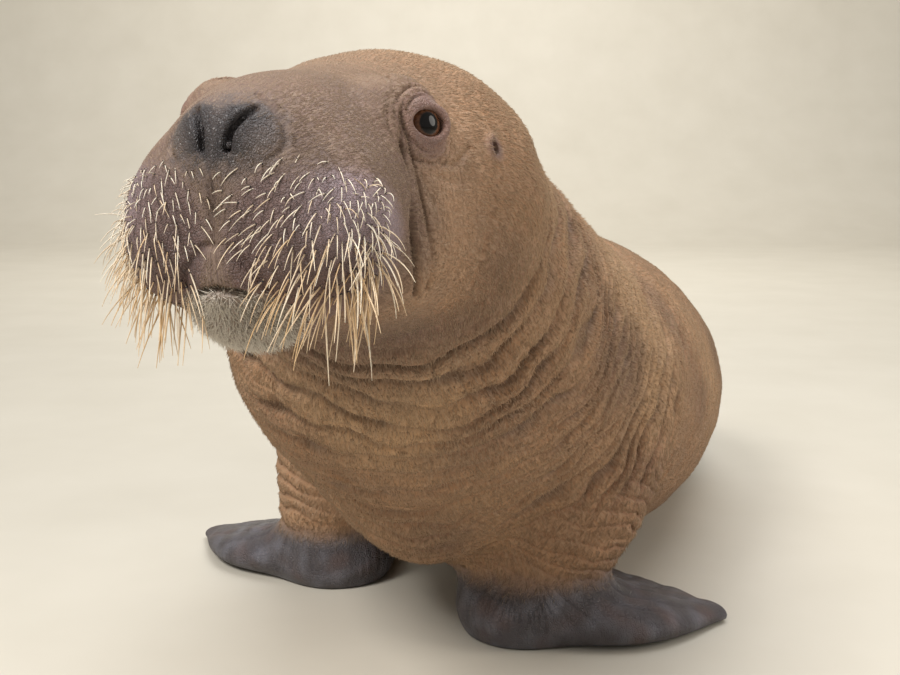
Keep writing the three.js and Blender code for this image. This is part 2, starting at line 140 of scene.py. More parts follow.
# Grooves of the face on the animal's left, mirrored on its right: points in the head's frame, depth, width.
GROOVES = [
    (
        [
            (-22, 36, 30), (10, 58, 17), (21, 68, -13), (19, 71, -35),
            (22, 74, -57), (17, 76, -79), (1, 71, -100),
        ],
        4.6,
        2.6,
    ),
    ([(4, 60, 16), (19, 67, 1), (15, 73, -19), (12, 78, -46), (9, 81, -68), (-4, 76, -97)], 3.2, 2.2),
    ([(-2, 66, 14), (14, 66, 8), (17, 70, -12), (11, 77, -30), (4, 82, -48)], 1.6, 2.2),
    ([(-7, 81, -24), (-24, 85, -25), (-42, 88, -15)], 1.7, 2.4),
    ([(-4, 82, -33), (-26, 88, -36), (-48, 94, -24)], 1.1, 2.4),
    ([(-60, 99, -24), (-52, 100, -45), (-48, 96, -72), (-56, 86, -96)], 1.6, 3.4),
    ([(86, 14, 6), (90, 25, -2), (92, 31, -12), (95, 31, -22), (100, 25, -28)], 2.0, 2.6),
    (MOUTH, 6.5, 2.4),
    ([(109, 0, -69), (108, 9, -72), (104, 18, -82), (97, 24, -92)], 2.4, 2.4),
    ([(107, 0, -34), (110, 0, -50), (110, 0, -68)], 2.2, 3.0),
]
NOSTRIL = [(98, 16, -2), (103, 12, -7), (106, 8, -14), (108, 7, -22)]

# The skin's and the whiskers' colours, in sRGB
PALETTE = {
    "fur": (152, 114, 82),
    "fur_pale": (176, 140, 104),
    "fur_dark": (120, 88, 66),
    "limb": (138, 98, 72),
    "face": (158, 126, 100),
    "muzzle": (112, 90, 80),
    "muzzle_front": (98, 83, 79),
    "crown": (108, 84, 68),
    # painted shade: the dark tone under the chin and on the throat
    "throat": (84, 58, 54),
    "lids": (122, 92, 86),
    "pad": (104, 84, 80),
    "pad_bloom": (164, 144, 150),
    "ear": (92, 66, 66),
    "pad_low": (128, 94, 84),
    "nose": (94, 86, 84),
    # painted shade: the near-black of the nostril slits
    "nostril": (50, 47, 49),
    "chin": (176, 164, 154),
    "bare": (84, 79, 82),
    # painted sheen: the lighter bluish-grey of the bare flippers
    "bare_sheen": (134, 134, 144),
    "bare_worn": (112, 84, 74),
    # painted highlight: the lighter tone laid on the crests between folds
    "crest": (180, 146, 110),
    # painted shade: the dark tone laid into the folds and grooves
    "fold": (66, 46, 36),
    "amber": (220, 186, 140),
    "ivory": (240, 232, 214),
}

# Folds of the skin: from one to the next along the body, and their depth
NECK_FOLDS = (26, 13.0)
SHOULDER_FOLDS = (24, 9.0)
RUMP_FOLDS = (34, 2.0)
LIMB_FOLDS = (15, 3.6)
LIMB_LENGTH = 260  # from a limb's root to where its strip of the unwrap ends
FLOOR = 0.4  # the height of the skin where it rests
COAT = 1.3  # how far in the skin lies under the coat
CELL = 3.6  # of the grid that the skin is taken from
COAT_PIECES = 6
TUFTS = 44000  # in one piece of the coat
CHIN_HAIRS = 2200
WHISKERS = 380  # tried on each pad; those on the mouth, the nose or the cheek are left out
WHISKER_SIDES = 6
WHISKER_RINGS = 8

# The camera, for a picture of 900 by 675 pixels: focal length and the horizon's row in pixels, height in mm
FRAME_WIDTH = 900
FRAME_HEIGHT = 675
FOCAL = 1200
HORIZON = 150
CAMERA_HEIGHT = 460
SENSOR = 36

UP = np.array([0.0, 0.0, 1.0])
AHEAD = np.array([0.0, -1.0, 0.0])


def unit(v):
    return v / (np.linalg.norm(v, axis=-1, keepdims=True) + 1e-12)


def smoothstep(x, low, high):
    t = np.clip((x - low) / (high - low), 0, 1)
    return t * t * (3 - 2 * t)


def smooth_min(a, b, blend):
    h = np.maximum(blend - np.abs(a - b), 0) / blend
    return np.minimum(a, b) - h * h * blend / 4


def smooth_max(a, b, blend):
    return -smooth_min(-a, -b, blend)


def drift(p, size, seed, waves=6):
    """Smooth noise from about -1 to 1: a sum of waves of about that size in many directions."""
    r = np.random.default_rng(seed)
    total = 0
    for _ in range(waves):
        way = unit(r.normal(size=3))
        total = total + np.sin(p @ way * (2 * math.pi / (size * r.uniform(0.7, 1.5))) + r.uniform(0, 6.3))
    return total / math.sqrt(waves) * 0.8


# The head's frame
yaw, pitch = math.radians(HEAD_YAW), math.radians(HEAD_PITCH)
forward = np.array([-math.sin(yaw) * math.cos(pitch), -math.cos(yaw) * math.cos(pitch), math.sin(pitch)])
left = unit(np.cross(UP, forward))
HEAD = np.array([forward, left, np.cross(forward, left)])


def from_head(q):
    return np.asarray(q, float) @ HEAD + HEAD_AT


def to_head(p):
    return (p - HEAD_AT) @ HEAD.T


def head_way(turn, rise):
    """A direction in the head's frame, by its turn to the left and its rise in degrees."""
    a, b = math.radians(turn), math.radians(rise)
    return np.array([math.cos(a) * math.cos(b), math.sin(a) * math.cos(b), math.sin(b)])


def ellipsoid(p, at, half, axes=np.eye(3)):
    local = (p - np.asarray(at)) @ axes.T / np.asarray(half, float)
    reach = np.sqrt((local**2).sum(1))
    slope = np.sqrt(((local / np.asarray(half, float)) ** 2).sum(1))
    return reach * (reach - 1) / (slope + 1e-9)


def catmull(points, t):
    """Points of a smooth curve through the rows, at each t from 0 to 1."""
    n = len(points) - 1
    ends = np.vstack([2 * points[0] - points[1], points, 2 * points[-1] - points[-2]])
    x = np.clip(np.asarray(t, float), 0, 1) * n
    i = np.minimum(x.astype(int), n - 1)
    w = (x - i)[:, None]
    p0, p1, p2, p3 = (ends[i + k] for k in range(4))
    a, b = 0.5 * (p2 - p0), 0.5 * (p3 - p1)
    return p1 + a * w + (3 * (p2 - p1) - 2 * a - b) * w**2 + (2 * (p1 - p2) + a + b) * w**3


class Sweep:
    """A form swept along stations, kept as a chain of ellipsoids."""

    def __init__(self, stations, crest=UP, spacing=12.0):
        rows = np.array(stations, float)
        length = np.linalg.norm(np.diff(catmull(rows[:, :3], np.linspace(0, 1, 99)), axis=0), axis=1).sum()
        t = np.linspace(0, 1, int(math.ceil(length / spacing)) + 1)
        line = catmull(rows, t)
        after, before = (catmull(rows[:, :3], np.clip(t + nudge, 0, 1)) for nudge in (0.001, -0.001))
        ahead = after - before
        self.at, self.half = line[:, :3], line[:, 3:5]
        self.along = unit(ahead)
        self.across = unit(np.cross(self.along, crest))
        self.up = np.cross(self.across, self.along)
        self.place = np.concatenate([[0], np.cumsum(np.linalg.norm(np.diff(self.at, axis=0), axis=1))])
        self.low = (self.at - self.half.max()).min(0) - 45
        self.high = (self.at + self.half.max()).max(0) + 45

    def field(self, p):
        out = np.full(len(p), 900.0)
        near = ((p > self.low) & (p < self.high)).all(1)
        q = p[near]
        if not len(q):
            return out
        least = np.full(len(q), 900.0)
        for at, half, *axes in zip(self.at, self.half, self.across, self.up, self.along):
            size = (half[0], half[1], half.min())
            close = (np.abs(q - at) < half.max() + 60).all(1)
            least[close] = np.minimum(least[close], ellipsoid(q[close], at, size, np.array(axes)))
        out[near] = least
        return out

    def locate(self, p):
        """How near each point is for the form's size, how far along it, and the angle from its underside."""
        best = np.full(len(p), 1e9)
        which = np.zeros(len(p), int)
        for i, (at, half) in enumerate(zip(self.at, self.half)):
            d = np.linalg.norm(p - at, axis=1) / half.mean()
            closer = d < best
            best[closer] = d[closer]
            which[closer] = i
        off = p - self.at[which]
        along = self.place[which] + (off * self.along[which]).sum(1)
        angle = np.arctan2((off * self.across[which]).sum(1), -(off * self.up[which]).sum(1))
        return best, along, angle, which


trunk = Sweep(TRUNK)
tail = Sweep(TAIL, spacing=5)
arms, digits = {}, {}
for name, (arm, at, heading, lead, root, shape) in LIMBS.items():
    arms[name] = Sweep(arm, AHEAD)
    way = math.radians(heading)
    side = way - lead * math.pi / 2

    def in_plane(u, v, half, thick):
        x = at[0] + u * math.cos(way) + v * math.cos(side)
        y = at[1] + u * math.sin(way) + v * math.sin(side)
        return (x, y, thick - 1, half, thick)

    digits[name] = [
        Sweep([in_plane(*station) for station in (root, mid, tip)], spacing=6) for mid, tip in shape
    ]

# A line through the whole body, on into the muzzle, for what runs along it or round it.
HEAD_LINE = [(-40, 0, -42, 92, 74), (20, 0, -46, 72, 62), (70, 0, -50, 60, 56), (112, 0, -52, 30, 44)]
head_stations = [tuple(from_head(q[:3])) + q[3:] for q in HEAD_LINE]
body_line = Sweep(TRUNK + head_stations, spacing=16)
NAPE = trunk.place[-1]

gaze = head_way(GAZE_YAW, GAZE_PITCH)
eye_side = unit(np.cross(UP, gaze))
EYE_AXES = np.array([eye_side, np.cross(gaze, eye_side), gaze])
mirror = np.array([1.0, -1.0, 1.0])


def folded(q):
    """Points of the head's frame, all brought to the animal's left."""
    return np.column_stack([q[:, 0], np.abs(q[:, 1]), q[:, 2]])


def lids(d, q):
    """The head's field with the thick lids round the eye, and the opening between them."""
    e = (q - EYE) @ EYE_AXES.T

    def ring(across, tall, depth, thick):
        r = np.sqrt((e[:, 0] / across) ** 2 + (e[:, 1] / tall) ** 2)
        return np.hypot((r - 1) * (across + tall) / 2, e[:, 2] - depth) - thick

    d = smooth_min(d, ring(14.2, 10.0, 14.4, 3.4), 3)
    corner = 1 + 0.16 * np.abs(e[:, 0] / OPENING[0]) ** 3
    hole = np.sqrt((e[:, 0] / OPENING[0]) ** 2 + (e[:, 1] / OPENING[1] * corner) ** 2)
    hole = np.maximum((hole - 1) * OPENING[1], 4 - e[:, 2])
    return smooth_max(d, -hole, 1.2)


def chain(q, points, radius, stretch=(1, 1, 1)):
    """Distance from a round line through the points."""
    line = catmull(np.array(points, float), np.linspace(0, 1, 25)) * np.array(stretch)
    scaled = q * np.array(stretch)
    least = np.full(len(q), 8e5)
    for a, b in zip(line[:-1], line[1:]):
        step = b - a
        share = np.clip((scaled - a) @ step / (step @ step), 0, 1)
        least = np.minimum(least, ((scaled - a - share[:, None] * step) ** 2).sum(1))
    return np.sqrt(least) - radius


def flesh(p):
    """Signed distance from the whole animal's skin, in millimetres."""
    d = smooth_min(trunk.field(p), ellipsoid(p, KEEL[0], KEEL[1]), KEEL[2])
    q = to_head(p)
    near = (np.abs(q) < 190).all(1)
    h, f = q[near], d[near]
    for at, half, blend in SKULL:
        for side in (1, -1) if at[1] else (1,):
            f = smooth_min(f, ellipsoid(h, np.array(at) * (1, side, 1), half), blend)
    g = folded(h)
    f = lids(f, g)
    f = smooth_max(f, -chain(g, NOSTRIL, 2.1, (0.4, 1, 1)), 2.5)
    ear = ((g - EAR) * (1, 1, 0.7)) ** 2
    f = smooth_min(f, np.hypot(np.sqrt(ear[:, 0] + ear[:, 2]) - 4.6, g[:, 1] - 97) - 2.0, 5)
    f = smooth_max(f, 2.4 - np.sqrt(ear[:, 0] + 0.2 * ear[:, 1] + ear[:, 2]), 1.5)
    d[near] = f
    for name in LIMBS:
        limb = arms[name].field(p)
        for digit in digits[name]:
            limb = smooth_min(limb, digit.field(p), WEB)
        d = smooth_min(d, limb, SHOULDER)
    d = smooth_min(d, tail.field(p), 12)
    return smooth_max(d, FLOOR - p[:, 2], 3)


# The skin's mesh
def grid_surface(step):
    """Vertices and quads of the skin, from its field on a grid worked out finely only near the skin."""
    part = 4
    low = np.array([-320.0, 560.0, -16.0])
    high = np.array([530.0, 2140.0, 560.0])
    coarse = [np.arange(a, b, part * step) for a, b in zip(low, high)]
    nodes = np.stack(np.meshgrid(*coarse, indexing="ij"), -1)
    value = flesh(nodes.reshape(-1, 3)).reshape(nodes.shape[:3])
    corners = [value[i : i - 1 or None, j : j - 1 or None, k : k - 1 or None]
               for i in (0, 1) for j in (0, 1) for k in (0, 1)]
    least = np.min([np.abs(c) for c in corners], 0)
    mixed = (np.min(corners, 0) < 0) & (np.max(corners, 0) > 0)
    active = mixed | (least < part * step * 0.8)
    fine = value[:-1, :-1, :-1]
    for axis in range(3):
        fine = np.repeat(fine, part, axis)
        active = np.repeat(active, part, axis)
    index = np.argwhere(active)
    fine = fine.astype(np.float32)
    fine[active] = flesh(low + index * step)
    volume = openvdb.FloatGrid(900.0)
    volume.copyFromArray(np.ascontiguousarray(fine))
    points, quads = volume.convertToQuads(0.0)
    return low + points * step, quads


def mesh_of(name, points, faces):
    mesh = bpy.data.meshes.new(name)
    faces = np.asarray(faces, np.int32)
    count, sides = faces.shape
    mesh.vertices.add(len(points))
    mesh.vertices.foreach_set("co", np.asarray(points, np.float32).ravel())
    mesh.loops.add(count * sides)
    mesh.loops.foreach_set("vertex_index", faces.ravel())
    mesh.polygons.add(count)
    mesh.polygons.foreach_set("loop_start", np.arange(0, count * sides, sides, dtype=np.int32))
    mesh.update(calc_edges=True)
    mesh.validate()
    return mesh


def places(mesh, what="co"):
    out = np.empty(len(mesh.vertices) * 3, np.float32)
    mesh.vertices.foreach_get(what, out)
    return out.reshape(-1, 3).astype(float)


def refine(mesh, wanted):
    """Cuts in four each face whose corners are all wanted."""
    chosen = wanted(places(mesh))
    bm = bmesh.new()
    bm.from_mesh(mesh)
    bm.verts.ensure_lookup_table()
    edges = [e for e in bm.edges if chosen[e.verts[0].index] and chosen[e.verts[1].index]]
    bmesh.ops.subdivide_edges(bm, edges=edges, cuts=1, use_grid_fill=True)
    bmesh.ops.triangulate(bm, faces=[f for f in bm.faces if len(f.verts) > 4])
    bm.to_mesh(mesh)
    bm.free()


def settle(mesh, rounds):
    """Moves each vertex along its normal onto the skin."""
    for _ in range(rounds):
        p = places(mesh)
        p -= places(mesh, "normal") * np.clip(flesh(p), -4, 4)[:, None] * 0.9
        mesh.vertices.foreach_set("co", p.astype(np.float32).ravel())
        mesh.update()


def groove_depth(q):
    """How deep the face's grooves cut at points of the head's frame."""
    near = (np.abs(q) < 140).all(1)
    depth = np.zeros(near.sum())
    for points, deep, wide in GROOVES:
        d = chain(q[near], points, 0)
        depth = np.maximum(depth, deep * np.exp(-((d / wide) ** 2)))
        depth -= 0.3 * deep * np.exp(-(((d - 2 * wide) / wide) ** 2))
    out = np.zeros(len(q))
    out[near] = depth
    return out


def in_features(p):
    q = folded(to_head(p))
    eye = np.linalg.norm(q - EYE - gaze * 8, axis=1) < 25
    nose = (q[:, 0] > 78) & (q[:, 1] < 36) & (q[:, 2] > -34) & (q[:, 2] < 14)
    mouth = (q[:, 0] > 84) & (q[:, 1] < 32) & (q[:, 2] > -108) & (q[:, 2] < -60)
    ear = np.linalg.norm(q - EAR, axis=1) < 14
    return eye | nose | mouth | ear | (groove_depth(q) > 0.3)


def in_folds(p):
    return (p[:, 1] < 1200) & (p[:, 2] > 30)


points, quads = grid_surface(CELL)
skin_mesh = mesh_of("skin", points, quads)
if places(skin_mesh, "normal")[np.argmax(points[:, 2])][2] < 0:
    skin_mesh.flip_normals()
settle(skin_mesh, 1)
refine(skin_mesh, in_folds)
refine(skin_mesh, in_features)
settle(skin_mesh, 2)
print("skin", len(skin_mesh.vertices), "vertices")


# What each point of the skin is like
def valley(phase, sharp=2.4):
    """1 at the bottom of a fold, at each whole number, and 0 at the crest between two."""
    return (1 - np.abs(np.sin(math.pi * phase))) ** sharp


def describe(p):
    """Masks and coordinates of points of the skin, as a dict of arrays."""
    q = to_head(p)
    g = folded(q)
    _, along, angle, which = body_line.locate(p)
    behind = NAPE - along
    near, reach, limb_way = np.full(len(p), 9.0), np.zeros(len(p)), np.zeros((len(p), 3))
    rear, swing = np.zeros(len(p)), np.zeros(len(p))
    bare = np.zeros(len(p))
    for name in LIMBS:
        for sweep in [arms[name]] + digits[name]:
            far, place, _, i = sweep.locate(p)
            better = far < near
            near[better] = far[better]
            reach[better] = place[better]
            limb_way[better] = sweep.along[i[better]]
            off = p[better] - sweep.at[i[better]]
            rear[better] = unit(off) @ (0.8 * LIMBS[name][3], 0.6, 0)
            root = np.array(LIMBS[name][1])
            swing[better] = np.arctan2(off[:, 1] + sweep.at[i[better], 1] - root[1] + 40,
                                       off[:, 0] + sweep.at[i[better], 0] - root[0])
        wrist = arms[name].at[-2]
        bare = np.maximum(bare, smoothstep(-p[:, 2], -78, -46) * (np.linalg.norm(p - wrist, axis=1) < 270))
    on_limb = smoothstep(-near, -1.25, -1.0) * smoothstep(behind, 60, 140)
    bare = bare * smoothstep(-near, -2.4, -1.8)
    muzzle = smoothstep(q[:, 0], -6, 26) * smoothstep(behind, 40, -10)
    pad_reach = ellipsoid(g, (66, 36, -68), (62, 46, 50))
    pad = smoothstep(-pad_reach, -3, 6) * smoothstep(-g[:, 2], 22, 40)
    uneven = 3 * drift(g, 18, 21) + 2 * drift(g, 7, 22)
    nose = smoothstep(-ellipsoid(g, (102, 0, -14), (22, 30, 17)) + uneven, -12, 6)
    nares = 1 - smoothstep(chain(g, NOSTRIL, 0), 3, 17)
    chin = smoothstep(-ellipsoid(g, (86, 0, -110), (40, 34, 20)), -3, 4)
    eye = 1 - smoothstep(np.linalg.norm(g - EYE - gaze * 8, axis=1), 15, 30)
    face = smoothstep(-behind, 20, 90)
    # painted shade: the underside of the head behind the chin, where shade falls
    throat = smoothstep(-q[:, 2], 100, 135) * smoothstep(q[:, 0], -150, -60) * (1 - chin)
    return dict(
        q=q, g=g, along=along, angle=angle, behind=behind, which=which, reach=reach,
        limb_way=limb_way, on_limb=on_limb, bare=bare, muzzle=muzzle, pad=pad, nose=nose, chin=chin,
        eye=eye, face=face, throat=throat, nares=nares, rear=rear, swing=swing,
    )


def relief(p, at):
    """How far in the skin lies of its field, in millimetres, and how much of that is folds."""
    b = at["behind"]
    slant = (1 - np.cos(at["angle"])) / 2 * (30 + 60 * smoothstep(b, 60, 240))
    slant *= 1 - smoothstep(b, 300, 600)
    wander = 0.55 * drift(p, 150, 3) + 0.22 * drift(p, 50, 4)
    fade = 0.45 + 0.55 * smoothstep(drift(p, 110, 5), -0.7, 0.6)
    neck = smoothstep(b, 4, 40) * (1 - smoothstep(b, 150, 260))
    shoulder = smoothstep(b, 120, 220) * (1 - smoothstep(b, 420, 620))
    rump = smoothstep(b, 420, 640)
    under = np.clip(np.cos(at["angle"]), 0, 1) * smoothstep(b, 20, 90) * (1 - smoothstep(b, 330, 460))
    rings = NECK_FOLDS[1] * neck * valley((b - slant) / NECK_FOLDS[0] + wander, 1.6)
    rings += 2.2 * neck * valley((b - slant) / 11 + 2 * wander + 0.4, 2.0)
    rings += SHOULDER_FOLDS[1] * shoulder * valley((b - slant) / SHOULDER_FOLDS[0] + 1.3 * wander, 1.7)
    rings += 1.6 * shoulder * valley((b - slant) / 8.3 + 2 * wander, 2)
    rings += RUMP_FOLDS[1] * rump * valley(b / RUMP_FOLDS[0] + 1.2 * wander, 3)
    turn = np.abs(at["angle"])
    lengthwise = 2.2 * under**1.5 * valley(turn * 8.5 + 0.8 * wander + b / 200, 2.2)
    lengthwise *= 1 - smoothstep(b, 90, 200)
    furled = np.maximum(at["on_limb"] * (1 - smoothstep(p[:, 2], 110, 210)), at["bare"])
    folds = fade * (rings * (1 - 0.4 * under) * (1 - furled) + lengthwise * (1 - furled))
    folds *= smoothstep(p[:, 2], 2, 30)
    limb = furled * (1 - at["bare"]) * smoothstep(p[:, 2], 20, 60)
    outer = smoothstep(at["rear"], -0.3, 0.5)
    folds += limb * (0.3 + outer) * LIMB_FOLDS[1] * valley(at["reach"] / LIMB_FOLDS[0] + 0.9 * wander, 2)
    splay = at["bare"] * smoothstep(p[:, 2], 6, 24)
    folds += splay * 1.6 * valley(at["swing"] * 5.2 + 0.9 * wander, 2.2)
    cheek = at["face"] * (1 - at["muzzle"]) * (1 - at["eye"])
    folds += cheek * 0.7 * valley(b / 8 + 1.6 * wander, 2)
    grooves = groove_depth(at["g"]) * smoothstep(at["behind"], 90, 30)
    hair = COAT * (1 - np.maximum.reduce([at["bare"], at["pad"], at["nose"], 0.7 * at["face"], at["eye"]]))
    lump = 0.8 * drift(p, 42, 8) * (1 - at["face"]) * smoothstep(p[:, 2], 2, 30)
    # Creases round the eye
    e = (at["g"] - EYE) @ EYE_AXES.T
    round_eye = np.hypot(e[:, 0], 1.1 * e[:, 1])
    swirl = 0.6 + 0.4 * np.sin(np.arctan2(e[:, 1], e[:, 0]) * 3 + 1.2)
    for far, deep, wide in ((17.5, 1.5, 0.9), (20.6, 1.0, 0.9), (24.5, 1.9, 1.3), (28.5, 1.0, 1.2)):
        crease = deep * swirl * np.exp(-(((round_eye - far) / wide) ** 2)) * (e[:, 2] > -16)
        grooves = grooves + crease * (np.abs(e).max(1) < 36)
        swirl = 1.2 - swirl
    return folds + grooves + hair + lump, folds + 1.3 * np.maximum(grooves, 0)


p = places(skin_mesh)
at = describe(p)
depth, folds = relief(p, at)
ground = smoothstep(p[:, 2], 0.5, 14)
p -= places(skin_mesh, "normal") * (depth * (0.15 + 0.85 * ground))[:, None]
p[:, 2] = np.maximum(p[:, 2], FLOOR)
skin_mesh.vertices.foreach_set("co", p.astype(np.float32).ravel())
skin_mesh.update()


# Colours
def srgb(r, g, b):
    c = np.array([r, g, b]) / 255
    return np.where(c < 0.04045, c / 12.92, ((c + 0.055) / 1.055) ** 2.4)


HUE = {name: srgb(*tone) for name, tone in PALETTE.items()}


def mix(a, b, share):
    share = np.asarray(share)[:, None]
    return a * (1 - share) + b * share


def tint_of(p, at, folds):
    """The skin's colour at each point, under the coat."""
    one = np.ones((len(p), 1))
    tint = one * HUE["fur"]
    tint = mix(tint, HUE["fur_pale"], smoothstep(drift(p, 260, 11), 0.0, 1.2))
    tint = mix(tint, HUE["fur_dark"], smoothstep(drift(p, 170, 12), 0.2, 1.3))
    tint = mix(tint, HUE["limb"], 0.6 * at["on_limb"])
    tint = mix(tint, HUE["face"], 0.7 * at["face"])
    tint = mix(tint, HUE["muzzle"], 0.9 * at["muzzle"])
    tint = mix(tint, HUE["muzzle_front"], 0.65 * at["muzzle"] * smoothstep(at["q"][:, 0], 66, 98))
    crown = at["face"] * smoothstep(at["q"][:, 2], 4, 28)
    tint = mix(tint, HUE["crown"], 0.75 * crown)
    # painted shade under the chin
    tint = mix(tint, HUE["throat"], 0.85 * at["throat"])
    tint = mix(tint, HUE["lids"], 0.85 * at["eye"])
    lavender = at["pad"] * smoothstep(at["g"][:, 1], 36, 70) * smoothstep(at["q"][:, 2], -96, -46)
    tint = mix(tint, HUE["pad"], at["pad"])
    tint = mix(tint, HUE["pad_bloom"], 0.85 * lavender)
    tint = mix(tint, HUE["ear"], 0.8 * (1 - smoothstep(np.linalg.norm(at["g"] - EAR, axis=1), 5, 12)))
    low = at["pad"] * smoothstep(-at["q"][:, 2], 78, 112)
    tint = mix(tint, HUE["pad_low"], 0.7 * low)
    tint = mix(tint, HUE["nose"], 0.8 * at["nose"])
    # painted shade: the nostril slits darkened nearly to black
    tint = mix(tint, HUE["nostril"], 0.9 * at["nares"] * at["nose"])
    tint = mix(tint, HUE["chin"], 0.75 * at["chin"])
    tint = mix(tint, HUE["bare"], at["bare"])
    # painted sheen: lighter bluish-grey patches on the bare flippers
    tint = mix(tint, HUE["bare_sheen"], 0.4 * at["bare"] * smoothstep(drift(p, 22, 14, 16), -0.6, 1.4))
    tint = mix(tint, HUE["bare_worn"], 0.35 * at["bare"] * smoothstep(drift(p, 34, 15, 16), -0.2, 1.4))
    # painted highlight: the crests between the folds are lightened
    crest = (1 - smoothstep(folds, 0.0, 1.2)) * smoothstep(at["behind"], 0, 60) * (1 - at["bare"])
    tint = mix(tint, HUE["crest"], 0.25 * crest * (1 - smoothstep(at["behind"], 400, 600)))
    # painted shade: darker the deeper the folds and grooves
    tint = mix(tint, HUE["fold"], 0.6 * smoothstep(folds, 1.0, 6.5))
    return tint


tint = tint_of(p, at, folds)
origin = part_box("eye_left")
middle = (np.array(origin[0]) + np.array(origin[1])) / 2 * 1000
# The solids' frame has its origin under the middle of the whole, so the tables' own is moved by this much.
SHIFT = from_head(EYE) - middle


def in_frame(p):
    """Table millimetres to metres in the frame."""
    return (np.asarray(p, float) - SHIFT) / 1000


def number(mesh, name, values):
    layer = mesh.attributes.new(name, "FLOAT", "POINT")
    layer.data.foreach_set("value", np.asarray(values, np.float32))


def colour(mesh, name, values):
    layer = mesh.attributes.new(name, "FLOAT_COLOR", "POINT")
    solid = np.column_stack([values, np.ones(len(values))])
    layer.data.foreach_set("color", solid.astype(np.float32).ravel())


# Materials
class Nodes:
    """A short way to write a material's nodes."""

    def __init__(self, name):
        self.material = bpy.data.materials.new(name)
        self.material.use_nodes = True
        self.tree = self.material.node_tree
        self.shader = self.tree.nodes["Principled BSDF"]

    def link(self, value, socket):
        if isinstance(value, (int, float, tuple)):
            socket.default_value = value
        else:
            self.tree.links.new(value, socket)

    def add(self, kind, inputs=(), **settings):
        node = self.tree.nodes.new(kind)
        for key, value in settings.items():
            setattr(node, key, value)
        for key, value in dict(inputs).items():
            self.link(value, node.inputs[key])
        return node

    def attribute(self, name, output="Fac"):
        return self.add("ShaderNodeAttribute", attribute_name=name).outputs[output]

    def math(self, kind, a, b=0.0, clamp=False):
        return self.add("ShaderNodeMath", {0: a, 1: b}, operation=kind, use_clamp=clamp).outputs[0]

    def place(self):
        return self.add("ShaderNodeTexCoord").outputs["Object"]

    def noise(self, where, scale, detail=3.0, rough=0.55):
        inputs = {"Vector": where, "Scale": scale, "Detail": detail, "Roughness": rough}
        return self.add("ShaderNodeTexNoise", inputs).outputs["Fac"]

    def ramp(self, value, low, high, to_low=0.0, to_high=1.0):
        inputs = {0: value, 1: low, 2: high, 3: to_low, 4: to_high}
        return self.add("ShaderNodeMapRange", inputs).outputs[0]

    def blend(self, share, a, b, kind="MIX"):
        node = self.tree.nodes.new("ShaderNodeMix")
        node.data_type = "RGBA"
        node.blend_type = kind
        self.link(share, node.inputs[0])
        self.link(a, node.inputs[6])
        self.link(b, node.inputs[7])
        return node.outputs[2]

    def bump(self, height, distance, strength):
        inputs = {"Height": height, "Distance": distance, "Strength": strength}
        return self.add("ShaderNodeBump", inputs).outputs["Normal"]


def skin_material():
    n = Nodes("calf_skin")
    where = n.place()
    tint = n.attribute("tint", "Color")
    bare = n.attribute("bare")
    pad = n.attribute("pad")
    wet = n.attribute("wet")
    laid = {0: n.attribute("along"), 1: n.attribute("girth"), 2: 0.0}
    lie = n.add("ShaderNodeCombineXYZ", laid).outputs[0]
    drawn_out = {0: lie, 1: (90.0, 560.0, 1.0)}
    stretched = n.add("ShaderNodeVectorMath", drawn_out, operation="MULTIPLY").outputs[0]
    hair = n.noise(stretched, 1.0, 4.0, 0.65)
    grain = n.noise(where, 900.0, 3.0)
    patch = n.noise(where, 34.0, 4.0)
    cells = n.add("ShaderNodeTexVoronoi", {"Vector": where, "Scale": 620.0}, feature="DISTANCE_TO_EDGE")
    cracks = n.ramp(cells.outputs["Distance"], 0.0, 0.22)
    wide = n.add("ShaderNodeTexVoronoi", {"Vector": where, "Scale": 210.0}, feature="DISTANCE_TO_EDGE")
    creases = n.ramp(wide.outputs["Distance"], 0.0, 0.12)
    smooth = n.math("MAXIMUM", bare, pad, True)
    furry = n.math("SUBTRACT", 1.0, smooth, True)
    light = n.math("MULTIPLY", n.ramp(hair, 0.42, 0.7), furry)
    shade = n.ramp(patch, 0.3, 0.7, 0.8, 1.14)
    grey = n.add("ShaderNodeCombineXYZ", {0: shade, 1: shade, 2: shade}).outputs[0]
    colour = n.blend(1.0, tint, grey, "MULTIPLY")
    colour = n.blend(n.math("MULTIPLY", light, 0.42), colour, (0.45, 0.33, 0.23, 1.0))
    speck = n.math("MULTIPLY", n.ramp(grain, 0.5, 0.72), 0.22)
    colour = n.blend(speck, colour, (0.12, 0.08, 0.07, 1.0))
    # painted shade: the bare skin and the pads are darker along their fine creases
    crease_shade = n.math("MULTIPLY", n.math("SUBTRACT", 1.0, creases), n.math("MULTIPLY", smooth, 0.2))
    colour = n.blend(crease_shade, colour, (0.05, 0.045, 0.05, 1.0))
    n.link(colour, n.shader.inputs["Base Color"])
    dry = n.ramp(patch, 0.3, 0.7, 0.5, 0.72)
    rough = n.math("ADD", dry, n.math("MULTIPLY", furry, 0.1))
    rough = n.math("SUBTRACT", rough, n.math("MULTIPLY", wet, 0.24))
    n.link(rough, n.shader.inputs["Roughness"])
    n.shader.inputs["Subsurface Weight"].default_value = 0.05
    n.shader.inputs["Subsurface Radius"].default_value = (0.006, 0.003, 0.002)
    n.shader.inputs["Specular IOR Level"].default_value = 0.42
    height = n.math("MULTIPLY", hair, n.math("MULTIPLY", furry, 1.1))
    height = n.math("ADD", height, n.math("MULTIPLY", grain, 0.3))
    height = n.math("ADD", height, n.math("MULTIPLY", cracks, n.math("MULTIPLY", smooth, 0.45)))
    height = n.math("ADD", height, n.math("MULTIPLY", creases, n.math("MULTIPLY", smooth, 0.5)))
    n.link(n.bump(height, 0.0012, 0.9), n.shader.inputs["Normal"])
    return n.material


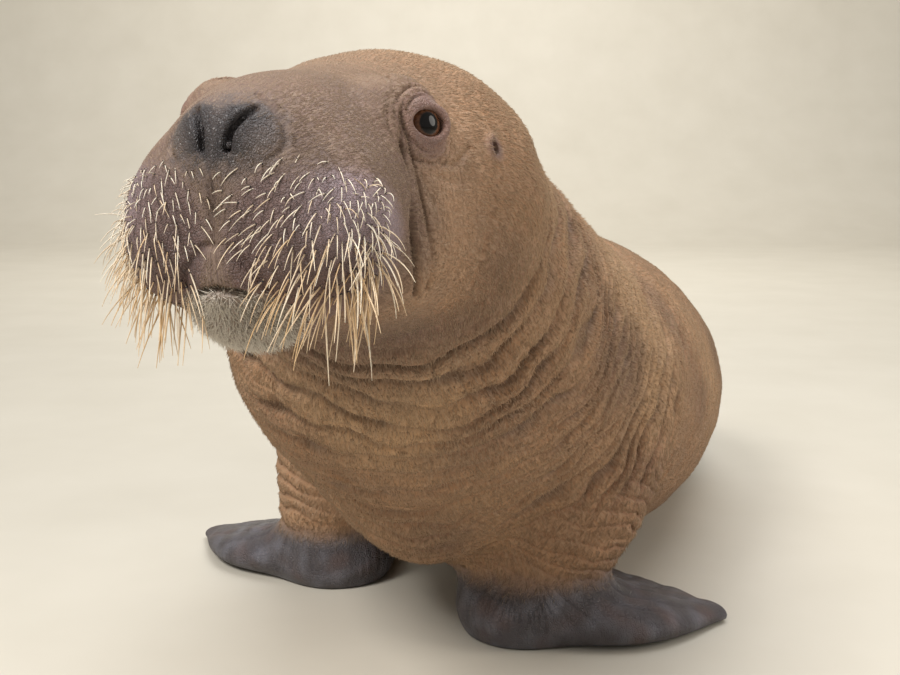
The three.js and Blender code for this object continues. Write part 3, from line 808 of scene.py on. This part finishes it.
def hair_material(name, root, tip, rough):
    """Hair whose colour runs from root to tip over the skin's own tint."""
    n = Nodes(name)
    along = n.attribute("tip")
    base = n.attribute("tint", "Color")
    colour = n.blend(along, n.blend(root[1], base, root[0]), n.blend(tip[1], base, tip[0]))
    n.link(colour, n.shader.inputs["Base Color"])
    n.shader.inputs["Roughness"].default_value = rough
    n.shader.inputs["Specular IOR Level"].default_value = 0.35
    return n.material


def eye_material():
    n = Nodes("eye_wet")
    radial = n.attribute("radial")
    where = n.place()
    rays = n.ramp(n.noise(where, 700.0, 3.0), 0.35, 0.7)
    iris = n.blend(rays, (0.06, 0.024, 0.012, 1), (0.17, 0.07, 0.032, 1))
    colour = n.blend(n.ramp(radial, 0.24, 0.29), (0.004, 0.003, 0.003, 1), iris)
    colour = n.blend(n.ramp(radial, 0.56, 0.62), colour, (0.03, 0.014, 0.012, 1))
    colour = n.blend(n.ramp(radial, 0.68, 0.8), colour, (0.3, 0.2, 0.18, 1))
    n.link(colour, n.shader.inputs["Base Color"])
    n.link(n.ramp(n.noise(where, 260.0, 2.0), 0.3, 0.7, 0.03, 0.07), n.shader.inputs["Roughness"])
    n.shader.inputs["Coat Weight"].default_value = 0.15
    n.shader.inputs["Specular IOR Level"].default_value = 0.2
    n.shader.inputs["Coat Roughness"].default_value = 0.02
    return n.material


def place_object(name, mesh, material):
    piece = bpy.data.objects.new(name, mesh)
    bpy.context.scene.collection.objects.link(piece)
    mesh.materials.append(material)
    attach(piece, "root")
    return piece


# Skin
skin_points = p
skin_normals = places(skin_mesh, "normal")
skin_mesh.vertices.foreach_set("co", in_frame(p).astype(np.float32).ravel())
colour(skin_mesh, "tint", tint)
number(skin_mesh, "bare", at["bare"])
number(skin_mesh, "pad", np.maximum.reduce([at["pad"], at["nose"], 0.6 * at["eye"]]))
number(skin_mesh, "wet", np.maximum.reduce([at["nose"], 0.8 * at["bare"], at["eye"], 0.5 * at["pad"]]))
number(skin_mesh, "along", at["along"] / 1000)
number(skin_mesh, "girth", np.abs(at["angle"]) * body_line.half[at["which"]].mean(1) / 1000)
skin_mesh.polygons.foreach_set("use_smooth", np.ones(len(skin_mesh.polygons), bool))
skin_mesh.update()
skin = place_object("calf_skin", skin_mesh, skin_material())
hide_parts(*[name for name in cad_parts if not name.startswith("eye")])

# Eyes
for name, side in (("left", 1), ("right", -1)):
    ball = bmesh.new()
    bmesh.ops.create_uvsphere(ball, u_segments=48, v_segments=32, radius=1.0)
    mesh = bpy.data.meshes.new("eyeball_" + name)
    ball.to_mesh(mesh)
    ball.free()
    u = places(mesh)
    cornea = 1 + 0.045 * smoothstep(u[:, 2], 0.72, 0.95)
    radial = np.arccos(np.clip(u[:, 2], -1, 1)) / (math.pi / 2)
    axes = EYE_AXES * (mirror if side < 0 else 1)
    local = (u * cornea[:, None] * EYE_RADIUS) @ axes + (EYE + gaze * EYE_OUT) * (1, side, 1)
    mesh.vertices.foreach_set("co", in_frame(from_head(local)).astype(np.float32).ravel())
    number(mesh, "radial", radial)
    if side < 0:
        mesh.flip_normals()
    mesh.polygons.foreach_set("use_smooth", np.ones(len(mesh.polygons), bool))
    mesh.update()
    eyeball = place_object("eyeball_" + name, mesh, eye_material())
    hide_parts("eye_" + name)


# Hair
def triangles_of(mesh):
    mesh.calc_loop_triangles()
    tri = np.empty(len(mesh.loop_triangles) * 3, np.int32)
    mesh.loop_triangles.foreach_get("vertices", tri)
    return tri.reshape(-1, 3)


def scatter(count, weight):
    """Random points on the skin, as thick as weight says: each one's triangle and shares of its corners."""
    tri = triangles_of(skin_mesh)
    a, b, c = (skin_points[tri[:, k]] for k in range(3))
    area = np.linalg.norm(np.cross(b - a, c - a), axis=1) * weight[tri].mean(1)
    pick = rng.choice(len(tri), count, p=area / area.sum())
    s, t = rng.random(count), rng.random(count)
    over = s + t > 1
    s[over], t[over] = 1 - s[over], 1 - t[over]
    share = np.column_stack([1 - s - t, s, t])
    return tri[pick], share


def spread(values, tri, share):
    """A value of the skin's vertices at scattered points."""
    values = np.asarray(values)
    if values.ndim == 1:
        return (values[tri] * share).sum(1)
    return (values[tri] * share[:, :, None]).sum(1)


def tangent(way, normal):
    return unit(way - (way * normal).sum(1)[:, None] * normal)


def lie_of(at):
    """Which way the coat lies: from the nose back, and down each limb."""
    back = -body_line.along[at["which"]] + np.array([0, 0, -0.35])
    return back * (1 - at["on_limb"])[:, None] + at["limb_way"] * at["on_limb"][:, None]


def tufts(name, tri, share, length, width, lift, material, lean=0.16):
    """Thin four-faced spikes that lie along the skin, with their bake patches by place on the body."""
    root = spread(skin_points, tri, share)
    normal = unit(spread(skin_normals, tri, share))
    way = tangent(spread(lie, tri, share) + rng.normal(size=root.shape) * lean, normal)
    side = np.cross(normal, way)
    wide = width[:, None] / 2
    tip = root + way * length[:, None] + normal * (lift * length)[:, None]
    back = root - normal * 0.5
    points = np.stack([back + side * wide, back - side * wide, root + normal * 0.35 + way * 0.5, tip], 1)
    first = np.arange(len(root))[:, None, None] * 4
    faces = (first + np.array([[0, 2, 1], [0, 1, 3], [1, 2, 3], [2, 0, 3]])).reshape(-1, 3)
    mesh = mesh_of(name, in_frame(points.reshape(-1, 3)), faces)
    number(mesh, "tip", np.tile([0.0, 0.0, 0.1, 1.0], len(root)))
    jitter = 1 + 0.16 * rng.normal(size=(len(root), 1))
    shade = np.clip(spread(tint, tri, share) * jitter, 0, 1)
    colour(mesh, "tint", np.repeat(shade, 4, 0))
    place = chart[tri[:, 0]]
    patch = np.array([[-0.0015, -0.0015], [0.0015, -0.0015], [0.0, 0.0], [0.0, 0.0015]])
    corners = (place[:, None, :] + patch).reshape(-1, 2)
    layer = mesh.uv_layers.new(name="OFBake")
    layer.data.foreach_set("uv", corners[faces.ravel()].astype(np.float32).ravel())
    return place_object(name, mesh, material)


# An unwrap of the skin: how far along the body by how far round it, limbs in a strip of their own.
lie = lie_of(at)
body_share = np.clip(at["along"] / body_line.place[-1], 0, 1)
limb_share = np.clip(at["reach"] / LIMB_LENGTH, 0, 1)
turn = at["angle"] / (2 * math.pi) + 0.5
limb_turn = np.arctan2(skin_normals[:, 1], skin_normals[:, 0]) / (2 * math.pi) + 0.5
limbed = at["on_limb"] > 0.5
chart = np.where(
    limbed[:, None],
    np.column_stack([0.78 + 0.2 * limb_share, 0.01 + 0.98 * limb_turn]),
    np.column_stack([0.01 + 0.74 * body_share, 0.01 + 0.98 * turn]),
)

ear_edge = 1 - smoothstep(np.linalg.norm(at["g"] - EAR, axis=1), 6, 12)
naked = np.maximum.reduce([ear_edge, at["bare"], at["nose"], at["pad"], (at["eye"] > 0.75) * 1.0])
furred = np.clip(1 - naked, 0, 1) * smoothstep(skin_points[:, 2], 3, 12)
coat_look = hair_material("coat_hair", ((0.2, 0.125, 0.08, 1.0), 0.4), ((0.72, 0.55, 0.38, 1.0), 0.5), 0.6)
dense = furred * (1 + 1.8 * at["face"] + 0.8 * smoothstep(at["behind"], 500, 100))
dense *= 1 - 0.6 * smoothstep(folds, 1, 5)
for i in range(COAT_PIECES):
    tri, share = scatter(TUFTS, dense)
    short = spread(at["face"], tri, share)
    long = (5.4 - 3.0 * short) * rng.uniform(0.7, 1.3, TUFTS)
    thick = (0.72 - 0.34 * short) * rng.uniform(0.7, 1.3, TUFTS)
    lift = rng.uniform(0.05, 0.24, TUFTS) * (1 - 0.6 * short)
    tufts(f"coat_{i + 1}", tri, share, long, thick, lift, coat_look)

# Pale hairs of the chin
chin_look = hair_material("chin_hair", ((0.4, 0.34, 0.28, 1.0), 0.8), ((0.86, 0.8, 0.7, 1.0), 0.9), 0.5)
tri, share = scatter(CHIN_HAIRS, at["chin"])
long = rng.uniform(3.5, 8, CHIN_HAIRS)
thick = np.full(CHIN_HAIRS, 0.55)
lift = rng.uniform(0.3, 0.7, CHIN_HAIRS)
tufts("chin_hairs", tri, share, long, thick, lift, chin_look, lean=0.5)


# Whiskers
def whisker_mesh(name, side):
    """All the whiskers of one pad: bent, tapered tubes, each rooted in a low dark collar."""
    sides, rings = WHISKER_SIDES, WHISKER_RINGS
    count = WHISKERS
    k = np.arange(count) + 0.5
    turn = (k * 0.61803) % 1
    low = k / count
    turn_deg = -40 + 122 * turn + rng.normal(size=count) * 1.5
    rise_deg = np.degrees(np.arcsin(0.67 - 1.5 * low)) + rng.normal(size=count) * 2
    out = np.array([head_way(a, b) for a, b in zip(turn_deg, rise_deg)])
    q = np.array(PAD_CORE) + out * 30
    for _ in range(30):
        d = -flesh(from_head(q * (1, side, 1)))
        q += out * (d * 0.8)[:, None]
    keep = (q[:, 1] > 3) & (q[:, 0] > 16) & (chain(q, MOUTH, 0) > 5) & (q[:, 2] > -116)
    keep &= rng.random(count) > 0.42 * smoothstep(-q[:, 2], 60, 105)
    keep &= (ellipsoid(q, (98, 0, -8), (28, 35, 25)) > 1) & ((q[:, 1] > 12) | (q[:, 2] > -70))
    q, out = q[keep], out[keep]
    count = len(q)
    drop = smoothstep(-q[:, 2], 36, 112)
    wide = smoothstep(q[:, 1], 10, 74)
    length = (8 + 16 * drop + 13 * wide * drop) * (0.72 + 0.75 * rng.random(count) ** 2)
    radius = 0.3 + 0.2 * smoothstep(length, 8, 40)
    inner = np.array([0.25, -0.5, -0.35])
    droop = np.array([0.16, 0.0, -1.0])
    turned = rng.normal(size=(count, 3)) * 0.17
    inward = inner * (1 - wide)[:, None]
    start = unit(out * 0.4 + inward * 0.8 + droop * (0.25 + 0.3 * drop)[:, None] + turned)
    finish = unit(out * 0.1 + droop * (0.4 + 0.75 * drop)[:, None] + inward * 0.5 + turned)
    t = np.linspace(0, 1, rings)
    pull = t[None, :, None]
    bent = start[:, None] * (pull - pull**2 / 2) + finish[:, None] * pull**2 / 2
    line = q[:, None] + length[:, None, None] * bent
    line[:, 0] -= start * 2.5
    axis = unit(np.gradient(line, axis=1))
    across = unit(np.cross(axis, np.array([0.3, 0.9, 0.2])))
    up = np.cross(axis, across)
    taper = (1 - 0.7 * t**2)[None, :, None, None] * radius[:, None, None, None]
    angle = np.arange(sides) * 2 * math.pi / sides
    ring = across[:, :, None] * np.cos(angle)[:, None] + up[:, :, None] * np.sin(angle)[:, None]
    tube = line[:, :, None] + ring * taper
    collar = q[:, None, None] + ring[:, :1] * (radius * 2.3)[:, None, None, None] - out[:, None, None] * 0.7
    top = q[:, None, None] + ring[:, :1] * (radius * 1.15)[:, None, None, None] + out[:, None, None] * 0.55
    points = np.concatenate([tube, collar, top], 1).reshape(count, -1, 3)
    per = (rings + 2) * sides
    j = np.arange(sides)
    around = np.column_stack([j, (j + 1) % sides])
    quads = []
    for r in list(range(rings - 1)) + [rings]:
        a, b = around[:, 0] + r * sides, around[:, 1] + r * sides
        quads.append(np.column_stack([a, b, b + sides, a + sides]))
    quads = np.concatenate(quads)
    faces = (np.arange(count)[:, None, None] * per + quads).reshape(-1, 4)
    world = from_head(points.reshape(-1, 3) * (1, side, 1))
    mesh = mesh_of(name, in_frame(world), faces if side > 0 else faces[:, ::-1])
    ends = np.repeat(np.concatenate([t, [-1, -1]]), sides)
    number(mesh, "tip", np.tile(ends, count))
    pale = np.clip(1 - drop * 0.95 + 0.25 * rng.normal(size=count), 0, 1)
    tone = mix(np.ones((count, 1)) * HUE["amber"], HUE["ivory"], pale)
    tone *= rng.uniform(0.8, 1.1, (count, 1))
    colour(mesh, "tint", np.repeat(np.clip(tone, 0, 1), per, 0))
    mesh.polygons.foreach_set("use_smooth", np.ones(len(mesh.polygons), bool))
    return mesh


def whisker_material():
    n = Nodes("whisker_horn")
    along = n.attribute("tip")
    tone = n.attribute("tint", "Color")
    streak = n.noise(n.place(), 420.0, 2.0)
    colour = n.blend(n.ramp(streak, 0.3, 0.7, 0.0, 0.3), tone, (0.4, 0.24, 0.12, 1.0))
    colour = n.blend(n.ramp(along, 0.0, 0.22, 0.55, 0.0), colour, (0.2, 0.11, 0.06, 1.0))
    colour = n.blend(n.ramp(along, -0.2, -0.8), colour, (0.035, 0.028, 0.032, 1.0))
    n.link(colour, n.shader.inputs["Base Color"])
    n.link(n.ramp(streak, 0.3, 0.7, 0.3, 0.45), n.shader.inputs["Roughness"])
    n.shader.inputs["Subsurface Weight"].default_value = 0.1
    n.shader.inputs["Subsurface Radius"].default_value = (0.002, 0.0015, 0.001)
    return n.material


horn = whisker_material()
for name, side in (("left", 1), ("right", -1)):
    place_object("whiskers_" + name, whisker_mesh("whiskers_" + name, side), horn)

# Floor, light and camera
bend = np.radians(np.linspace(0, 90, 17))
path = [(-14.0, 0.0)] + [(4.5 + 1.6 * math.sin(a), 1.6 - 1.6 * math.cos(a)) for a in bend] + [(6.1, 7.0)]
floor_points = [(x, y, z) for y, z in path for x in (-14, 14)]
floor_quads = [(2 * i, 2 * i + 1, 2 * i + 3, 2 * i + 2) for i in range(len(path) - 1)]
floor_mesh = mesh_of("floor", floor_points, floor_quads)
floor_mesh.polygons.foreach_set("use_smooth", np.ones(len(floor_mesh.polygons), bool))
floor = bpy.data.objects.new("floor", floor_mesh)
bpy.context.scene.collection.objects.link(floor)
look = Nodes("floor_plain")
cloud = look.noise(look.place(), 5.0, 3.0)
look.link(look.blend(cloud, (0.56, 0.52, 0.44, 1), (0.64, 0.6, 0.52, 1)), look.shader.inputs["Base Color"])
look.shader.inputs["Roughness"].default_value = 0.55
floor_mesh.materials.append(look.material)

world = bpy.data.worlds.new("studio")
world.use_nodes = True
world.node_tree.nodes["Background"].inputs[0].default_value = (0.92, 0.9, 0.85, 1.0)
world.node_tree.nodes["Background"].inputs[1].default_value = 0.42
bpy.context.scene.world = world


def area_light(name, where, aim, size, watts, tone):
    light = bpy.data.lights.new(name, "AREA")
    light.shape = "DISK"
    light.size = size
    light.energy = watts
    light.color = tone
    lamp = bpy.data.objects.new(name, light)
    lamp.location = where
    lamp.rotation_euler = (Vector(aim) - Vector(where)).to_track_quat("-Z", "Y").to_euler()
    bpy.context.scene.collection.objects.link(lamp)


area_light("key", (-1.3, -1.9, 2.3), (-0.1, -0.4, 0.3), 1.0, 80, (1.0, 0.98, 0.95))
area_light("top", (0.4, 0.2, 2.6), (0.0, 0.0, 0.2), 2.2, 44, (0.95, 0.97, 1.0))
area_light("side", (2.2, -0.6, 1.2), (0.0, -0.1, 0.2), 1.4, 20, (1.0, 0.95, 0.88))
area_light("backdrop", (0.0, 2.6, 3.4), (0.0, 6.2, 0.8), 2.6, 150, (1.0, 0.98, 0.94))

camera = bpy.data.cameras.new("camera")
camera.sensor_width = SENSOR
camera.lens = FOCAL / FRAME_WIDTH * SENSOR
eye_point = bpy.data.objects.new("camera", camera)
eye_point.location = in_frame((0, 0, CAMERA_HEIGHT))
down = math.atan((FRAME_HEIGHT / 2 - HORIZON) / FOCAL)
eye_point.rotation_euler = (math.pi / 2 - down, 0, 0)
bpy.context.scene.collection.objects.link(eye_point)
bpy.context.scene.camera = eye_point
bpy.context.scene.view_settings.view_transform = "Standard"
